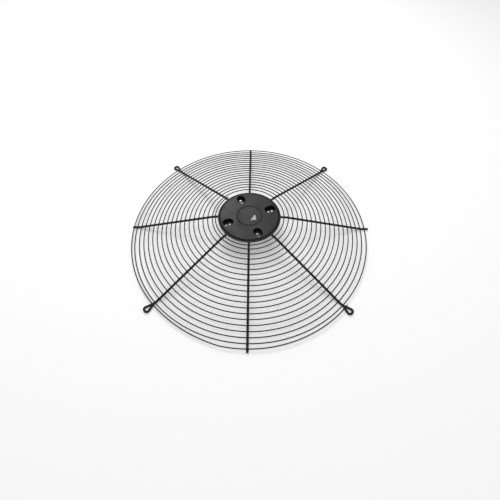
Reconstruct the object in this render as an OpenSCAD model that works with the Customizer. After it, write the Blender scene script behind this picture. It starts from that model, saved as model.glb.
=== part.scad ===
// Domed wire guard for an axial fan, made the way such guards are welded up:
// one spiral wire lies on eight bent spokes, and the spokes carry a pressed hub
// plate. Four spokes end in bolt eyelets and four are cut off plain.
// Millimetres, +Z up, the guard stands on its rim with its axis on Z.

/* [Spiral wire] */
// Thickness of the spiral wire
wire_d = 2.3; // [1.8:0.1:3]
// Spacing of the spiral from one turn to the next
pitch = 11; // [9:0.25:13]
// Whole turns that the spiral makes before its last half turn
whole_turns = 19; // [15:1:20]
// Room between the hub's edge and the centre of the wire's inner end
start_gap = 5.5; // [4:0.5:10]
// Growth in radius over the first half turn, which hugs the next turn
lead_in_step = 1.5; // [1:0.5:5]
// Growth in radius over the second half turn
second_step = 4.5; // [3:0.5:6]
// Growth in radius over the last half turn before the rim turn
closing_step = 3; // [2:0.5:6]
// Length of wire that stands past the spoke at each end of the spiral
wire_stub = 6; // [4:0.5:10]

/* [Rim turn] */
// Extra bending radius of the stretch that leaves the round before the kink
kink_ease = 41; // [10:1:60]
// Angle that this eased stretch turns through, up to the kink
kink_sweep = 30; // [15:1:38]
// Growth in radius from the rim turn to the wire's outer end
end_step = 3.5; // [1:0.5:6]

/* [Dome] */
// Height that the spokes rise from the rim to the hub
dome_h = 43; // [30:1:58]
// Flat run of a spoke from the hub's edge to its slope
shoulder_w = 11.5; // [8:0.5:20]
// Flat run of a spoke from the foot of its slope to the rim turn
rim_flat_w = 10.5; // [9:0.5:20]

/* [Spokes] */
// Thickness of the spoke wire
spoke_d = 5; // [4:0.1:6]
// Bending radius of a spoke's centre line at the shoulder and at the foot
spoke_bend_r = 40; // [25:1:50]
// Length of each spoke that lies under the hub plate
spoke_tuck = 12; // [8:0.5:16]
// Depth by which welded wires sink into each other
weld_bite = 0.3; // [0.2:0.05:0.5]
// Bevel on a spoke's cut end
tip_bevel = 0.6; // [0.3:0.1:1.2]
// Length of the right spoke past the rim turn
right_overhang = 7.5; // [4:0.5:14]
// Length of the back spoke past the rim turn
back_overhang = 5; // [4:0.5:14]
// Length of the left spoke past the rim turn
left_overhang = 4.5; // [4:0.5:14]
// Length of the front spoke past the rim turn
front_overhang = 12.5; // [8:0.5:16]

/* [Eyelets] */
// Distance from the rim turn to the centre of an eyelet's hole
eyelet_offset = 14; // [13:0.5:20]
// Width across an eyelet's hole, which an M5 screw passes
eyelet_hole_w = 6.5; // [5:0.1:8]
// Distance from an eyelet's hole back to the point where its legs part
eyelet_neck_l = 17; // [14:0.5:18]
// Bending radius of the wire's centre line at the eyelet's two corners
eyelet_corner_r = 4.5; // [4:0.1:5]
// Bending radius of the wire's centre line where the first leg turns off
neck_bend_r = 6; // [4:0.5:10]
// Distance that the wire's end stops short of the parting point
eyelet_end_gap = 4; // [3:0.25:5]

/* [Hub plate] */
// Diameter of the hub plate over its lip
hub_d = 144; // [130:1:160]
// Thickness of its sheet steel
sheet_t = 1.5; // [1:0.1:2]
// Width of the flat lip that is welded to the spokes
lip_w = 2.5; // [2:0.1:4]
// Width of the lip and the sloping wall together
rim_w = 6.5; // [6:0.1:7]
// Height of the plate's top above its lip
hub_rise = 2.5; // [2:0.1:3.5]
// Bending radius on the inner side of the sheet
sheet_bend_r = 1; // [0.5:0.1:1.5]
// Mean diameter of the raised stiffening ring
ring_d = 56; // [40:1:60]
// Height of the raised ring
ring_h = 1; // [0.6:0.1:1.2]
// Radius of the ring's rounded crest
ring_crest_r = 2.5; // [2.2:0.1:3]

/* [Bolt pockets] */
// Bolt circle through the inner hole of each pocket
inner_pcd = 96; // [94:0.5:98]
// Bolt circle through the outer hole of each pocket
outer_pcd = 114; // [112:0.5:116]
// Diameter of the bolt holes, for M5
bolt_hole_d = 5.5; // [4:0.1:6]
// Distance from the axis to the middle of a pocket
pocket_r = 51.5; // [51:0.1:52]
// Length of a pocket's mouth along the radius
pocket_l = 24; // [22:0.1:24.5]
// Width of a pocket's mouth
pocket_w = 18; // [16:0.1:20]
// Depth of a pocket's floor below the plate's top
pocket_depth = 9.5; // [7:0.5:11]
// Amount by which a pocket's wall leans in from mouth to floor
pocket_draft = 1.5; // [1:0.1:2]
// Bevel round a pocket's mouth
mouth_bevel = 0.8; // [0.4:0.1:1]

/* [Window] */
// Place of the window's middle along X
window_x = 10.5; // [8:0.5:13]
// Place of the window's middle along Y
window_y = -7.5; // [-9:0.5:-5]
// Radius of the window's rounded corners
window_corner_r = 1.5; // [1:0.1:2]

/* [Hidden] */
$fn = 72;

// Overlap that makes a cutter pass right through
cut = 1;
// Straight steps that a bend in the sheet is drawn with
bend_steps = 6;
// How far a joint ball stands out of the wire, and how far short of it the wire stops
joint_swell = 0.02;
joint_gap = 0.05;
// Turn of a joint ball about the wire, so that its seam doesn't lie on the wire's
joint_turn = 30;
plate_colour = [0.08, 0.09, 0.08];
wire_colour = [0.11, 0.12, 0.11];

// Directions of the spokes, and of the pockets between them
eyelet_angles = [45, 135, 225, 315];
plain_angles = [0, 90, 180, 270];
pocket_angles = [22.5, 112.5, 202.5, 292.5];
spiral_start_angle = 135;

hub_r = hub_d / 2;
half_turns = 2 * whole_turns + 1;

// Radius of the spiral at the start of each half turn
function half_turn_step(i) =
    i == 0 ? lead_in_step
    : i == 1 ? second_step
    : i == half_turns - 2 ? closing_step
    : pitch / 2;
spiral_r = [for (i = 0, r = hub_r + start_gap; i < half_turns; r = r + half_turn_step(i), i = i + 1) r];
rim_turn_r = spiral_r[half_turns - 1];
wire_end_r = rim_turn_r + end_step;

// Spoke centre line, in the plane of its radius and Z: flat, bend, slope, bend, flat
spoke_low_z = spoke_d / 2;
spoke_high_z = spoke_low_z + dome_h;
shoulder_r = hub_r + shoulder_w;
foot_r = rim_turn_r - rim_flat_w;
slope_angle = atan2(dome_h, foot_r - shoulder_r);
bend_tangent = spoke_bend_r * tan(slope_angle / 2);
shoulder_start = shoulder_r - bend_tangent;
foot_end = foot_r + bend_tangent;

// Height, at radius r, of a line that runs at a distance above the spoke's centre line
function above_spoke_z(r, rise) =
    let (top_r = spoke_bend_r + rise, foot_bend_r = spoke_bend_r - rise)
    r < shoulder_start ? spoke_high_z + rise
    : r < shoulder_start + top_r * sin(slope_angle) ?
        spoke_high_z - spoke_bend_r + sqrt(pow(top_r, 2) - pow(r - shoulder_start, 2))
    : r > foot_end ? spoke_low_z + rise
    : r > foot_end - foot_bend_r * sin(slope_angle) ?
        spoke_low_z + spoke_bend_r - sqrt(pow(foot_bend_r, 2) - pow(foot_end - r, 2))
    : spoke_high_z - (r - shoulder_r) * tan(slope_angle) + rise / cos(slope_angle);

// The spiral lies on the spokes, sunk into them by the welds
wire_rise = (spoke_d + wire_d) / 2 - weld_bite;
spiral_z = [for (r = spiral_r) above_spoke_z(r, wire_rise)];
rim_wire_z = spoke_low_z + wire_rise;

// Levels of the hub plate, which lies on the spokes in the same way
lip_z = spoke_high_z + spoke_d / 2 - weld_bite;
hub_top_z = lip_z + hub_rise + sheet_t;
pocket_floor_z = hub_top_z - pocket_depth;

function polar(r, angle) = r * [cos(angle), sin(angle)];

// ---------------------------------------------------------------- wire parts

// Bent stretch of wire in the XY plane, about the origin. Stretches stop just short of
// the point where they meet, and a ball a hair thicker than the wire closes the joint.
module wire_arc(bend_r, from_angle, to_angle, d, joint_angles = []) {
    short = joint_gap / bend_r * 180 / PI;
    rotate([0, 0, from_angle + short])
        rotate_extrude(angle = to_angle - from_angle - 2 * short)
            translate([bend_r, 0])
                circle(d = d);
    for (angle = joint_angles)
        translate(polar(bend_r, angle))
            rotate([90, 0, angle])
                rotate([0, 0, joint_turn])
                    sphere(d = d + 2 * joint_swell);
}

// Straight stretch of wire from point a towards point b
module wire_line(a, b, d) {
    run = b - a;
    translate(a)
        rotate([0, acos(run[2] / norm(run)), atan2(run[1], run[0])])
            translate([0, 0, joint_gap])
                cylinder(h = norm(run) - 2 * joint_gap, d = d);
}

// ------------------------------------------------------------------- spiral

// Half turn i, tilted so that both of its ends lie on the dome. Neighbours meet at a
// point in one direction, so the wire runs on without a break.
module half_turn(i, lead_angle) {
    r_mean = (spiral_r[i] + spiral_r[i + 1]) / 2;
    fall = (spiral_z[i] - spiral_z[i + 1]) / 2;
    rotate([0, 0, spiral_start_angle + 180 * i])
        translate([spiral_r[i] - r_mean, 0, spiral_z[i] - fall])
            rotate([0, -atan2(fall, r_mean), 0])
                wire_arc(norm([r_mean, fall]), -lead_angle, 180, wire_d, [180]);
}

// Last half turn: round to the spoke, eased out to a kink, then on past the last spoke
module rim_turn() {
    ease_angle = spiral_start_angle + 90;
    end_angle = spiral_start_angle + 180;
    ease_r = rim_turn_r + kink_ease;
    ease_centre = polar(-kink_ease, ease_angle);
    kink = ease_centre + polar(ease_r, ease_angle + kink_sweep);
    end = polar(wire_end_r, end_angle);
    half_chord = (end - kink) / 2;
    inward = [-half_chord[1], half_chord[0]] / norm(half_chord);
    last_centre = kink + half_chord
        + inward * sqrt(pow(rim_turn_r, 2) - pow(norm(half_chord), 2));
    kink_angle = atan2(kink[1] - last_centre[1], kink[0] - last_centre[0]);
    stop_angle = atan2(end[1] - last_centre[1], end[0] - last_centre[0])
        + wire_stub / rim_turn_r * 180 / PI;
    wire_arc(rim_turn_r, spiral_start_angle, ease_angle, wire_d, [ease_angle]);
    translate(ease_centre)
        wire_arc(ease_r, ease_angle, ease_angle + kink_sweep, wire_d, [ease_angle + kink_sweep]);
    translate(last_centre)
        wire_arc(rim_turn_r, kink_angle, stop_angle, wire_d);
}

module spiral_wire() {
    color(wire_colour) {
        for (i = [0 : half_turns - 2])
            half_turn(i, i == 0 ? wire_stub / spiral_r[0] * 180 / PI : 0);
        translate([0, 0, rim_wire_z])
            rim_turn();
    }
}

// ------------------------------------------------------------------- spokes

// Bend of the spoke's centre line about a point, with a joint ball at each end
module spoke_bend(centre_x, centre_z, from_angle, to_angle) {
    translate([centre_x, 0, centre_z])
        rotate([90, 0, 0])
            wire_arc(spoke_bend_r, from_angle, to_angle, spoke_d, [from_angle, to_angle]);
}

// Spoke from under the hub to the foot of the dome, along +X
module spoke_dome() {
    bend_x = spoke_bend_r * sin(slope_angle);
    bend_z = spoke_bend_r * (1 - cos(slope_angle));
    wire_line([hub_r - spoke_tuck, 0, spoke_high_z], [shoulder_start, 0, spoke_high_z], spoke_d);
    spoke_bend(shoulder_start, spoke_high_z - spoke_bend_r, 90 - slope_angle, 90);
    wire_line([shoulder_start + bend_x, 0, spoke_high_z - bend_z],
              [foot_end - bend_x, 0, spoke_low_z + bend_z], spoke_d);
    spoke_bend(foot_end, spoke_low_z + spoke_bend_r, 270 - slope_angle, 270);
}

// Spoke that is cut off plain, with a bevelled end
module plain_spoke(i, overhang) {
    length = rim_turn_r + overhang - foot_end;
    spoke_r = spoke_d / 2;
    color(wire_colour)
        rotate([0, 0, plain_angles[i]]) {
            spoke_dome();
            translate([foot_end, 0, spoke_low_z])
                rotate([0, 90, 0])
                    rotate_extrude()
                        polygon([[0, joint_gap], [spoke_r, joint_gap], [spoke_r, length - tip_bevel],
                                 [spoke_r - tip_bevel, length], [0, length]]);
        }
}

// Spoke that ends in a teardrop eyelet: the wire turns off to one side, goes round two
// corners and a short end bar, and comes back to be welded to its own first leg
module eyelet_spoke(i) {
    half_w = (eyelet_hole_w + spoke_d) / 2;
    corner = [eyelet_neck_l + half_w - eyelet_corner_r, half_w - eyelet_corner_r];
    leg_angle = atan2(corner[1], corner[0]) + asin(eyelet_corner_r / norm(corner));
    leg_l = sqrt(pow(norm(corner), 2) - pow(eyelet_corner_r, 2));
    turn_off = neck_bend_r * tan(leg_angle / 2);
    neck_x = rim_turn_r + eyelet_offset - eyelet_neck_l;
    color(wire_colour)
        rotate([0, 0, eyelet_angles[i]]) {
            spoke_dome();
            wire_line([foot_end, 0, spoke_low_z], [neck_x - turn_off, 0, spoke_low_z], spoke_d);
            translate([neck_x, 0, spoke_low_z]) {
                translate([-turn_off, neck_bend_r])
                    wire_arc(neck_bend_r, 270, 270 + leg_angle, spoke_d, [270, 270 + leg_angle]);
                eyelet_half(corner, turn_off, leg_l, leg_angle);
                mirror([0, 1, 0])
                    eyelet_half(corner, eyelet_end_gap, leg_l, leg_angle);
                wire_line([corner[0] + eyelet_corner_r, corner[1], 0],
                          [corner[0] + eyelet_corner_r, -corner[1], 0], spoke_d);
            }
        }
}

// One side of an eyelet: its straight leg, from a distance past the parting point, and
// its corner
module eyelet_half(corner, leg_start, leg_end, leg_angle) {
    rotate([0, 0, leg_angle])
        wire_line([leg_start, 0, 0], [leg_end, 0, 0], spoke_d);
    translate(corner)
        wire_arc(eyelet_corner_r, 0, 90 + leg_angle, spoke_d, [0, 90 + leg_angle]);
}

// ---------------------------------------------------------------- hub plate

// Points along a bend in the sheet
function bend_points(centre, r, from_angle, to_angle) =
    [for (k = [0 : bend_steps]) centre + polar(r, from_angle + (to_angle - from_angle) * k / bend_steps)];

// Half section of the plate: flat top, bend, sloping wall, bend and flat lip
module plate_section() {
    wall_angle = atan2(hub_rise, rim_w - lip_w);
    tangent = (sheet_bend_r + sheet_t / 2) * tan(wall_angle / 2);
    top_bend = [hub_r - rim_w - tangent, hub_top_z - sheet_t - sheet_bend_r];
    lip_bend = [hub_r - lip_w + tangent, lip_z + sheet_t + sheet_bend_r];
    polygon([
        [0, hub_top_z],
        each bend_points(top_bend, sheet_bend_r + sheet_t, 90, 90 - wall_angle),
        each bend_points(lip_bend, sheet_bend_r, 270 - wall_angle, 270),
        [hub_r, lip_z + sheet_t],
        [hub_r, lip_z],
        each bend_points(lip_bend, sheet_bend_r + sheet_t, 270, 270 - wall_angle),
        each bend_points(top_bend, sheet_bend_r, 90 - wall_angle, 90),
        [0, hub_top_z - sheet_t]
    ]);
}

// Section of the stiffening ring that is pressed up out of the flat top
module ring_crest_section() {
    intersection() {
        translate([ring_d / 2, hub_top_z + ring_h - ring_crest_r])
            circle(r = ring_crest_r);
        translate([0, hub_top_z - sheet_t / 2])
            square([hub_r, ring_crest_r + ring_h]);
    }
}

// Section of the groove that the press leaves under the stiffening ring
module ring_groove_section() {
    groove_r = ring_crest_r - sheet_t;
    groove_z = hub_top_z + ring_h - ring_crest_r;
    translate([ring_d / 2, groove_z])
        circle(r = groove_r);
    translate([ring_d / 2 - groove_r, groove_z - sheet_t - cut])
        square([2 * groove_r, sheet_t + cut]);
}

// Slot with round ends along X whose sides lean outward from floor to mouth
module leaning_slot(floor_z, floor_w, mouth_z, mouth_w) {
    end_x = (pocket_l - pocket_w) / 2;
    translate([0, 0, floor_z]) {
        for (x = [-end_x, end_x])
            translate([x, 0, 0])
                cylinder(h = mouth_z - floor_z, d1 = floor_w, d2 = mouth_w);
        rotate([90, 0, 90])
            linear_extrude(height = 2 * end_x, center = true)
                polygon([[-floor_w / 2, 0], [floor_w / 2, 0],
                         [mouth_w / 2, mouth_z - floor_z], [-mouth_w / 2, mouth_z - floor_z]]);
    }
}

// Sheet that forms one pocket's wall and floor, still solid inside
module pocket_cup() {
    leaning_slot(pocket_floor_z - sheet_t, pocket_w - 2 * pocket_draft + 2 * sheet_t,
                 hub_top_z - sheet_t / 2, pocket_w + 2 * sheet_t);
}

// Hollow of one pocket, with its bevelled mouth and its two bolt holes
module pocket_hollow() {
    bevel_z = hub_top_z - mouth_bevel;
    leaning_slot(pocket_floor_z, pocket_w - 2 * pocket_draft, bevel_z, pocket_w);
    leaning_slot(bevel_z, pocket_w, hub_top_z + cut, pocket_w + 2 * (mouth_bevel + cut));
    for (pcd = [inner_pcd, outer_pcd])
        translate([pcd / 2 - pocket_r, 0, pocket_floor_z - sheet_t - cut])
            cylinder(h = sheet_t + 2 * cut, d = bolt_hole_d);
}

// Three-cornered window with rounded corners
module window_outline() {
    corners = [[2, 8.5], [-6, -5], [4, -3.5]];
    sides = [for (i = [0 : 2]) corners[(i + 1) % 3] - corners[i]];
    normals = [for (s = sides) [s[1], -s[0]] / norm(s)];
    for (c = corners)
        translate(c)
            circle(r = window_corner_r);
    polygon([for (i = [0 : 2])
        each [corners[i] + window_corner_r * normals[i],
              corners[(i + 1) % 3] + window_corner_r * normals[i]]]);
}

module hub_plate() {
    color(plate_colour)
        difference() {
            union() {
                rotate_extrude() {
                    plate_section();
                    ring_crest_section();
                }
                for (a = pocket_angles)
                    rotate([0, 0, a])
                        translate([pocket_r, 0, 0])
                            pocket_cup();
            }
            rotate_extrude()
                ring_groove_section();
            for (a = pocket_angles)
                rotate([0, 0, a])
                    translate([pocket_r, 0, 0])
                        pocket_hollow();
            translate([window_x, window_y, hub_top_z - sheet_t - cut])
                linear_extrude(height = sheet_t + 2 * cut)
                    window_outline();
        }
}

hub_plate();
spiral_wire();
plain_spoke(0, right_overhang);  // right_spoke
plain_spoke(1, back_overhang);  // back_spoke
plain_spoke(2, left_overhang);  // left_spoke
plain_spoke(3, front_overhang);  // front_spoke
eyelet_spoke(0);  // back_right_eyelet_spoke
eyelet_spoke(1);  // back_left_eyelet_spoke
eyelet_spoke(2);  // front_left_eyelet_spoke
eyelet_spoke(3);  // front_right_eyelet_spoke
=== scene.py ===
"""Wire fan guard: powder-coated finishes, weld beads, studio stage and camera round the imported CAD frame."""

import logging
import math
from dataclasses import dataclass, field
from enum import Enum

import bpy
import numpy as np
from mathutils import Euler, Matrix, Vector
from mathutils.bvhtree import BVHTree

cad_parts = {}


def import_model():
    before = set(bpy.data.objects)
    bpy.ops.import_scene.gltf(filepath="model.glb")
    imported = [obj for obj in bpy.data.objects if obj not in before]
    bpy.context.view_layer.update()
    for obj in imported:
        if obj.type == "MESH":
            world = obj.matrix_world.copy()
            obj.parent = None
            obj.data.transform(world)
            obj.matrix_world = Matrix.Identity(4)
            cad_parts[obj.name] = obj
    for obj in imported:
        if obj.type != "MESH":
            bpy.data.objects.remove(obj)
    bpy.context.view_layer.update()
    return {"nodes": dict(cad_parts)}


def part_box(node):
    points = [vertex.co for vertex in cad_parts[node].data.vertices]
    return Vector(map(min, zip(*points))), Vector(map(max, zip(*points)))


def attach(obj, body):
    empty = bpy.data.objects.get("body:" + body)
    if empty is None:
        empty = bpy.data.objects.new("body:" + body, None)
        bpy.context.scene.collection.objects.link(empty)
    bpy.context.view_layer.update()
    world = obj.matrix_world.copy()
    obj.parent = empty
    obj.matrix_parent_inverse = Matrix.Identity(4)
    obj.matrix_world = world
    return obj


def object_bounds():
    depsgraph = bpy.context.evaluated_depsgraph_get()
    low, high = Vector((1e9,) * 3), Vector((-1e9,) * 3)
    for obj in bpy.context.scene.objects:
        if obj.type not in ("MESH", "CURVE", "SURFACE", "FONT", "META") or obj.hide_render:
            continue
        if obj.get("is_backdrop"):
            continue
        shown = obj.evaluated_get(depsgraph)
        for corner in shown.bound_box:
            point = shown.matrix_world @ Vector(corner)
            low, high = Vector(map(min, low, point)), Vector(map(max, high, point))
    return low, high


LOG = logging.getLogger("fan_guard")
MM = 0.001


class Direction(Enum):
    """The eight spokes, by their angle from +X in degrees."""

    RIGHT = 0
    BACK_RIGHT = 45
    BACK = 90
    BACK_LEFT = 135
    LEFT = 180
    FRONT_LEFT = 225
    FRONT = 270
    FRONT_RIGHT = 315

    @property
    def radians(self) -> float:
        """The direction in radians."""
        return math.radians(self.value)

    @property
    def has_eyelet(self) -> bool:
        """The diagonal spokes end in eyelets."""
        return self.value % 90 == 45

    @property
    def node(self) -> str:
        """Name of the CAD node of this spoke."""
        return self.name.lower() + ("_eyelet_spoke" if self.has_eyelet else "_spoke")


# ------------------------------------------------------------------ shader graph


class Wire:
    """A number coming out of a shader node, on which arithmetic adds Math nodes."""

    def __init__(self, graph: "Graph", socket: bpy.types.NodeSocket) -> None:
        """Args:
        graph: the graph that the socket is in.
        socket: the output that carries the number.
        """
        self.graph = graph
        self.socket = socket

    def _math(self, operation: str, first: object, second: object) -> "Wire":
        """Adds one Math node and gives its output."""
        return self.graph.add("ShaderNodeMath", {"operation": operation}, {0: first, 1: second})

    def __add__(self, other: object) -> "Wire":
        """Sum."""
        return self._math("ADD", self, other)

    __radd__ = __add__

    def __sub__(self, other: object) -> "Wire":
        """Difference."""
        return self._math("SUBTRACT", self, other)

    def __rsub__(self, other: object) -> "Wire":
        """Difference, the other way round."""
        return self._math("SUBTRACT", other, self)

    def __mul__(self, other: object) -> "Wire":
        """Product."""
        return self._math("MULTIPLY", self, other)

    __rmul__ = __mul__

    def above(self, low: float, high: float) -> "Wire":
        """Ramps from 0 at low to 1 at high, smoothly.

        Args:
            low: value that gives 0.
            high: value that gives 1.

        Returns:
            The ramp's output.
        """
        return self.graph.add(
            "ShaderNodeMapRange",
            {"interpolation_type": "SMOOTHSTEP"},
            {"Value": self, "From Min": low, "From Max": high},
            "Result",
        )


class Graph:
    """The node graph of a material or of the surround."""

    def __init__(self, owner: bpy.types.ID, output: str = "ShaderNodeOutputMaterial") -> None:
        """Args:
        owner: the new material or world, which is left with the output node alone.
        output: type of its output node.
        """
        owner.use_nodes = True
        self.tree = owner.node_tree
        self.tree.nodes.clear()
        self.output = self.tree.nodes.new(output)

    def add(
        self, kind: str, settings: dict[str, object], inputs: dict[object, object], output: object = 0
    ) -> Wire:
        """Adds a node, sets its settings and then its sockets.

        Args:
            kind: the node's type.
            settings: attributes of the node.
            inputs: values or wires, by socket name or number.
            output: name or number of the output that is wanted.

        Returns:
            The wire from that output.
        """
        node = self.tree.nodes.new(kind)
        for name, value in settings.items():
            setattr(node, name, value)
        for key, value in inputs.items():
            if isinstance(value, Wire):
                self.tree.links.new(value.socket, node.inputs[key])
            else:
                node.inputs[key].default_value = value
        return Wire(self, node.outputs[output])

    def noise(self, place: Wire, scale: float, detail: float = 2.0) -> Wire:
        """Noise texture.

        Args:
            place: coordinates.
            scale: features per metre.
            detail: octaves.

        Returns:
            A value about 0.5.
        """
        return self.add(
            "ShaderNodeTexNoise", {}, {"Vector": place, "Scale": scale, "Detail": detail}, "Fac"
        )

    def blend(self, share: Wire, first: tuple[float, ...], second: tuple[float, ...]) -> Wire:
        """Mixes two colours.

        Args:
            share: 0 gives the first colour and 1 the second.
            first: colour, linear RGB.
            second: colour, linear RGB.

        Returns:
            The mixed colour.
        """
        return self.add(
            "ShaderNodeMix",
            {"data_type": "RGBA"},
            {"Factor": share, 6: (*first, 1.0), 7: (*second, 1.0)},
            2,
        )

    def finish(self, shader: Wire) -> None:
        """Links the surface shader to the output."""
        self.tree.links.new(shader.socket, self.output.inputs["Surface"])


# ---------------------------------------------------------------------- finishes


@dataclass(frozen=True)
class PowderCoat:
    """Satin black powder coat, with its orange peel, small pits and a trace of dust."""

    name: str
    colour: tuple[float, float, float]
    dusty_colour: tuple[float, float, float]
    roughness: float = 0.42
    roughness_spread: float = 0.12
    specular: float = 0.3
    peel_per_m: float = 700.0
    peel_height_m: float = 0.00006
    pits_per_m: float = 2600.0
    pit_height_m: float = 0.000015
    patches_per_m: float = 35.0
    dust_from: float = 0.42
    dust_full: float = 0.75
    dust_roughness: float = 0.1
    level_from: float = 0.5

    def relief(self, graph: Graph, place: Wire) -> Wire:
        """Orange peel over small pits, as a surface normal.

        Args:
            graph: the material's graph.
            place: coordinates on the object.

        Returns:
            The bumped normal.
        """
        normal = {}
        for scale, detail, height in (
            (self.pits_per_m, 1.0, self.pit_height_m),
            (self.peel_per_m, 3.0, self.peel_height_m),
        ):
            bumps = graph.noise(place, scale, detail)
            sockets = {"Strength": 1.0, "Distance": height, "Height": bumps, **normal}
            normal = {"Normal": graph.add("ShaderNodeBump", {}, sockets, "Normal")}
        return normal["Normal"]

    def material(self) -> bpy.types.Material:
        """Builds the material: dust settles in patches, and only on what faces up.

        Returns:
            The material.
        """
        coat = bpy.data.materials.new(self.name)
        graph = Graph(coat)
        place = graph.add("ShaderNodeTexCoord", {}, {}, "Object")
        patches = graph.noise(place, self.patches_per_m, 4.0)
        facing = graph.add("ShaderNodeNewGeometry", {}, {}, "Normal")
        upward = graph.add("ShaderNodeSeparateXYZ", {}, {0: facing}, "Z").above(self.level_from, 1.0)
        dust = patches.above(self.dust_from, self.dust_full) * upward
        colour = graph.blend(dust, self.colour, self.dusty_colour)
        uneven = (patches - 0.5) * self.roughness_spread
        roughness = self.roughness + uneven + dust * self.dust_roughness
        shader = graph.add(
            "ShaderNodeBsdfPrincipled",
            {},
            {
                "Base Color": colour,
                "Roughness": roughness,
                "Specular IOR Level": self.specular,
                "Normal": self.relief(graph, place),
            },
        )
        graph.finish(shader)
        return coat


PLATE_COAT = PowderCoat("plate_coat", (0.0052, 0.0068, 0.0056), (0.011, 0.013, 0.0115))
WIRE_COAT = PowderCoat(
    "wire_coat",
    (0.0058, 0.0062, 0.0060),
    (0.012, 0.0125, 0.012),
    roughness=0.36,
    peel_per_m=1100.0,
    peel_height_m=0.00003,
)


# ------------------------------------------------------------------ mesh helpers


def deselect_all() -> None:
    """Leaves nothing selected, because an operator acts on all that is."""
    bpy.ops.object.select_all(action="DESELECT")


def select_ends(piece: bpy.types.Object) -> None:
    """Selects only the faces at the top and base of a drum, and goes to edit mode.

    Args:
        piece: the active object, in object mode.
    """
    bpy.ops.object.mode_set(mode="EDIT")
    bpy.ops.mesh.select_all(action="DESELECT")
    bpy.ops.object.mode_set(mode="OBJECT")
    for face in piece.data.polygons:
        face.select = abs(face.normal.z) > 0.9
    bpy.ops.object.mode_set(mode="EDIT")


def join(pieces: list[bpy.types.Object], name: str) -> bpy.types.Object:
    """Joins copies into one piece.

    Args:
        pieces: the copies.
        name: name of the joined piece.

    Returns:
        The joined piece, with its place in its mesh.
    """
    deselect_all()
    for piece in pieces:
        piece.select_set(True)
    bpy.context.view_layer.objects.active = pieces[0]
    bpy.ops.object.join()
    whole = pieces[0]
    bpy.ops.object.transform_apply(location=True, rotation=True, scale=True)
    whole.name = whole.data.name = name
    return whole


# ------------------------------------------------------------------- weld beads


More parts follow.
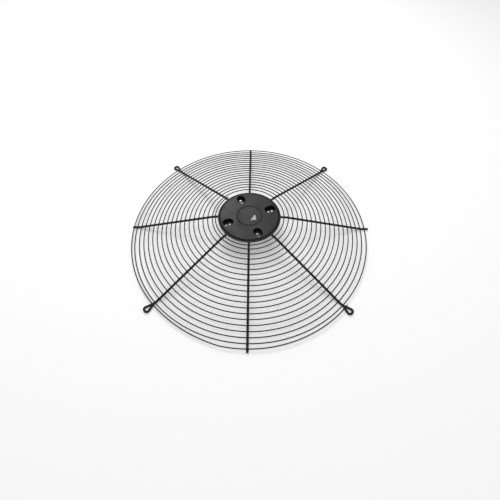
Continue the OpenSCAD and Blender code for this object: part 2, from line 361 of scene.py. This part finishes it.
@dataclass
class WeldBeads:
    """The small beads that the welds leave between the wires and at the hub and eyelets."""

    wire_d: float = 2.3 * MM
    spoke_d: float = 5.0 * MM
    crossing_size: tuple[float, float, float] = (1.9 * MM, 1.5 * MM, 0.7 * MM)
    hub_size: tuple[float, float, float] = (1.6 * MM, 2.1 * MM, 1.0 * MM)
    eyelet_size: tuple[float, float, float] = (3.2 * MM, 1.7 * MM, 1.1 * MM)
    end_insets: tuple[tuple[float, float], ...] = ((0.3, 0.35), (0.3, 0.12))
    rounding: float = 0.4
    hub_weld_sunk: float = 0.2 * MM
    eyelet_weld_back: float = 25.0 * MM
    eyelet_weld_side: float = -0.6 * MM
    eyelet_weld_sunk: float = 0.5 * MM
    probe_from: float = 70 * MM
    probe_to: float = 290 * MM
    probe_step: float = 0.25 * MM
    probe_beside: float = 3.4 * MM
    pieces: list[bpy.types.Object] = field(default_factory=list)

    def bead(self, size: tuple[float, float, float]) -> bpy.types.Object:
        """Models one bead: a low drum, drawn in at its top and base and rounded.

        Args:
            size: half lengths along, across and up.

        Returns:
            The bead, about the origin.
        """
        deselect_all()
        bpy.ops.mesh.primitive_cylinder_add(vertices=12, radius=1.0, depth=1.0)
        piece = bpy.context.active_object
        select_ends(piece)
        for width, rise in self.end_insets:
            bpy.ops.mesh.inset(thickness=width, depth=rise)
        bpy.ops.mesh.select_all(action="SELECT")
        bpy.ops.mesh.vertices_smooth(factor=self.rounding)
        bpy.ops.transform.resize(value=size, center_override=(0, 0, 0))
        bpy.ops.mesh.normals_make_consistent(inside=False)
        bpy.ops.mesh.faces_shade_smooth()
        bpy.ops.object.mode_set(mode="OBJECT")
        return piece

    def copies(self, size: tuple[float, float, float], places: list[Matrix], name: str) -> None:
        """Copies one bead to each place and joins the copies into a piece.

        Args:
            size: the bead's half lengths.
            places: where each copy goes.
            name: name of the joined piece.
        """
        first = self.bead(size)
        made = []
        for place in places:
            copy = first.copy()
            copy.data = first.data.copy()
            bpy.context.scene.collection.objects.link(copy)
            copy.matrix_world = place
            made.append(copy)
        bpy.data.objects.remove(first)
        bpy.context.view_layer.update()
        self.pieces.append(join(made, name))

    def crossings(self, spiral: BVHTree, spoke: BVHTree, turned: float) -> list[Matrix]:
        """Finds where the spiral lies on one spoke, by looking down beside it.

        Args:
            spiral: the spiral wire.
            spoke: the spoke.
            turned: the spoke's direction in radians.

        Returns:
            The place of each bead, which lies along the spoke's slope.
        """
        along = Vector((math.cos(turned), math.sin(turned), 0))
        across = Vector((-along.y, along.x, 0))
        down = Vector((0, 0, -1))
        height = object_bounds()[1][2] + self.wire_d
        places, run = [], []
        for r in np.arange(self.probe_from, self.probe_to, self.probe_step):
            tops = [
                spiral.ray_cast(along * r + across * side + Vector((0, 0, height)), down)[0]
                for side in (-self.probe_beside, self.probe_beside)
            ]
            if all(tops):
                run.append(r)
                continue
            if run:
                middle = along * (sum(run) / len(run))
                run = []
                hit, normal = spoke.ray_cast(middle + Vector((0, 0, height)), down)[:2]
                if hit:
                    slope = math.atan2(normal @ along, normal.z)
                    turn = Euler((0, slope, turned)).to_matrix().to_4x4()
                    places.append(Matrix.Translation(hit) @ turn)
        return places

    def build(self, nodes: dict[str, bpy.types.Object]) -> None:
        """Makes the three sets of beads.

        Args:
            nodes: the CAD nodes by name.
        """
        depsgraph = bpy.context.evaluated_depsgraph_get()
        spiral = BVHTree.FromObject(nodes["spiral_wire"], depsgraph)
        on_spiral, at_hub, at_eyelet = [], [], []
        hub_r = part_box("hub_plate")[1].x
        for direction in Direction:
            spoke = BVHTree.FromObject(nodes[direction.node], depsgraph)
            found = self.crossings(spiral, spoke, direction.radians)
            LOG.info("%s: %d crossings", direction.node, len(found))
            on_spiral += found
            turn = Matrix.Rotation(direction.radians, 4, "Z")
            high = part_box(direction.node)[1].z
            at_hub.append(turn @ Matrix.Translation((hub_r, 0, high - self.hub_weld_sunk)))
            if direction.has_eyelet:
                low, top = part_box(direction.node)
                reach = max(abs(low.x), abs(top.x)) * math.sqrt(2)
                neck = reach - self.eyelet_weld_back
                level = self.spoke_d - self.eyelet_weld_sunk
                at_eyelet.append(turn @ Matrix.Translation((neck, self.eyelet_weld_side, level)))
        self.copies(self.crossing_size, on_spiral, "crossing_welds")
        self.copies(self.hub_size, at_hub, "hub_welds")
        self.copies(self.eyelet_size, at_eyelet, "eyelet_welds")

    def dress(self, coat: bpy.types.Material) -> None:
        """Gives the beads the wires' coat and seats them on the guard's one body.

        Args:
            coat: the material.
        """
        for piece in self.pieces:
            piece.data.materials.clear()
            piece.data.materials.append(coat)
            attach(piece, "root")
            LOG.info("%s: %d faces", piece.name, len(piece.data.polygons))


# ------------------------------------------------------------------------- guard


@dataclass
class FanGuard:
    """The guard: CAD nodes in their finishes, and the weld beads."""

    nodes: dict[str, bpy.types.Object]
    welds: WeldBeads = field(default_factory=WeldBeads)

    def dress(self) -> None:
        """Gives each CAD node and the beads their coats."""
        plate, wire = PLATE_COAT.material(), WIRE_COAT.material()
        for name, node in self.nodes.items():
            coat = plate if name == "hub_plate" else wire
            node.data.materials.clear()
            node.data.materials.append(coat)
            LOG.info("%s wears %s", name, coat.name)
        self.welds.dress(wire)

    def build(self) -> None:
        """Makes the beads and dresses everything."""
        self.welds.build(self.nodes)
        self.dress()


# ------------------------------------------------------------------------ studio


@dataclass(frozen=True)
class Camera:
    """The camera's place round the guard, which stands a little turned before it."""

    lens_mm: float = 20.38
    sensor_mm: float = 36.0
    distance: float = 0.6876
    elevation: float = math.radians(53.61)
    aim_down: float = 0.080
    aim_right: float = 0.0027
    roll: float = -0.0076
    guard_turn: float = math.radians(1.233)
    rim_height: float = 0.00585

    def place(self) -> None:
        """Makes the camera and sets it as the scene's."""
        e, tilt, yaw = self.elevation, self.elevation + self.aim_down, self.aim_right
        place = Vector((0, -self.distance * math.cos(e), self.distance * math.sin(e) + self.rim_height))
        forward = Vector(
            (math.sin(yaw) * math.cos(tilt), math.cos(yaw) * math.cos(tilt), -math.sin(tilt))
        )
        right = forward.cross(Vector((0, 0, 1))).normalized()
        up = right.cross(forward)
        turned = Matrix((right, up, -forward)).transposed().to_4x4()
        roll = Matrix.Rotation(self.roll, 4, "Z")
        data = bpy.data.cameras.new("camera")
        data.sensor_width, data.lens = self.sensor_mm, self.lens_mm
        camera = bpy.data.objects.new("camera", data)
        bpy.context.scene.collection.objects.link(camera)
        camera.matrix_world = (
            Matrix.Rotation(self.guard_turn, 4, "Z") @ Matrix.Translation(place) @ turned @ roll
        )
        bpy.context.scene.camera = camera


@dataclass(frozen=True)
class SoftBox:
    """A square lamp that faces the guard."""

    name: str
    place: tuple[float, float, float]
    size: float
    power: float

    def light(self) -> None:
        """Makes the lamp."""
        data = bpy.data.lights.new(self.name, "AREA")
        data.size, data.energy = self.size, self.power
        lamp = bpy.data.objects.new(self.name, data)
        lamp.location = self.place
        lamp.rotation_euler = (-Vector(self.place)).to_track_quat("-Z", "Y").to_euler()
        bpy.context.scene.collection.objects.link(lamp)


@dataclass(frozen=True)
class Studio:
    """Pale floor, soft lamps and a plain surround."""

    floor_size: float = 12.0
    floor_level: float = -0.3 * MM
    floor_albedo: float = 0.8
    floor_glow: float = 0.3
    surround: float = 0.45
    lamps: tuple[SoftBox, ...] = (
        SoftBox("back_lamp", (-0.5, 1.5, 1.7), 0.9, 22.0),
        SoftBox("top_lamp", (0.2, 0.3, 2.4), 1.6, 18.0),
    )

    def floor(self) -> None:
        """Makes the floor: it glows a little to the camera, so that it shows white and keeps shadows."""
        deselect_all()
        bpy.ops.mesh.primitive_plane_add(size=self.floor_size, location=(0, 0, self.floor_level))
        floor = bpy.context.active_object
        floor.name = "floor"
        surface = bpy.data.materials.new("floor_paint")
        graph = Graph(surface)
        seen = graph.add("ShaderNodeLightPath", {}, {}, "Is Camera Ray")
        albedo = self.floor_albedo
        paint = graph.add("ShaderNodeBsdfDiffuse", {}, {"Color": (albedo, albedo, albedo, 1)})
        glow = graph.add("ShaderNodeEmission", {}, {"Strength": seen * self.floor_glow})
        graph.finish(graph.add("ShaderNodeAddShader", {}, {0: paint, 1: glow}))
        floor.data.materials.append(surface)
        floor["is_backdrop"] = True

    def world(self) -> None:
        """Plain surround that lights the guard softly and shows white to the camera."""
        world = bpy.data.worlds.new("surround")
        bpy.context.scene.world = world
        graph = Graph(world, "ShaderNodeOutputWorld")
        seen = graph.add("ShaderNodeLightPath", {}, {}, "Is Camera Ray")
        level = graph.add("ShaderNodeMapRange", {}, {"Value": seen, "To Min": self.surround}, "Result")
        graph.finish(graph.add("ShaderNodeBackground", {}, {"Strength": level}))

    def build(self) -> None:
        """Sets up the stage."""
        self.floor()
        self.world()
        for lamp in self.lamps:
            lamp.light()
        bpy.context.scene.view_settings.view_transform = "Standard"


def main() -> None:
    """Builds the scene round the CAD frame."""
    logging.basicConfig(level=logging.INFO, format="%(message)s")
    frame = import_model()
    Camera().place()
    FanGuard(frame["nodes"]).build()
    Studio().build()


if __name__ == "__main__":
    main()
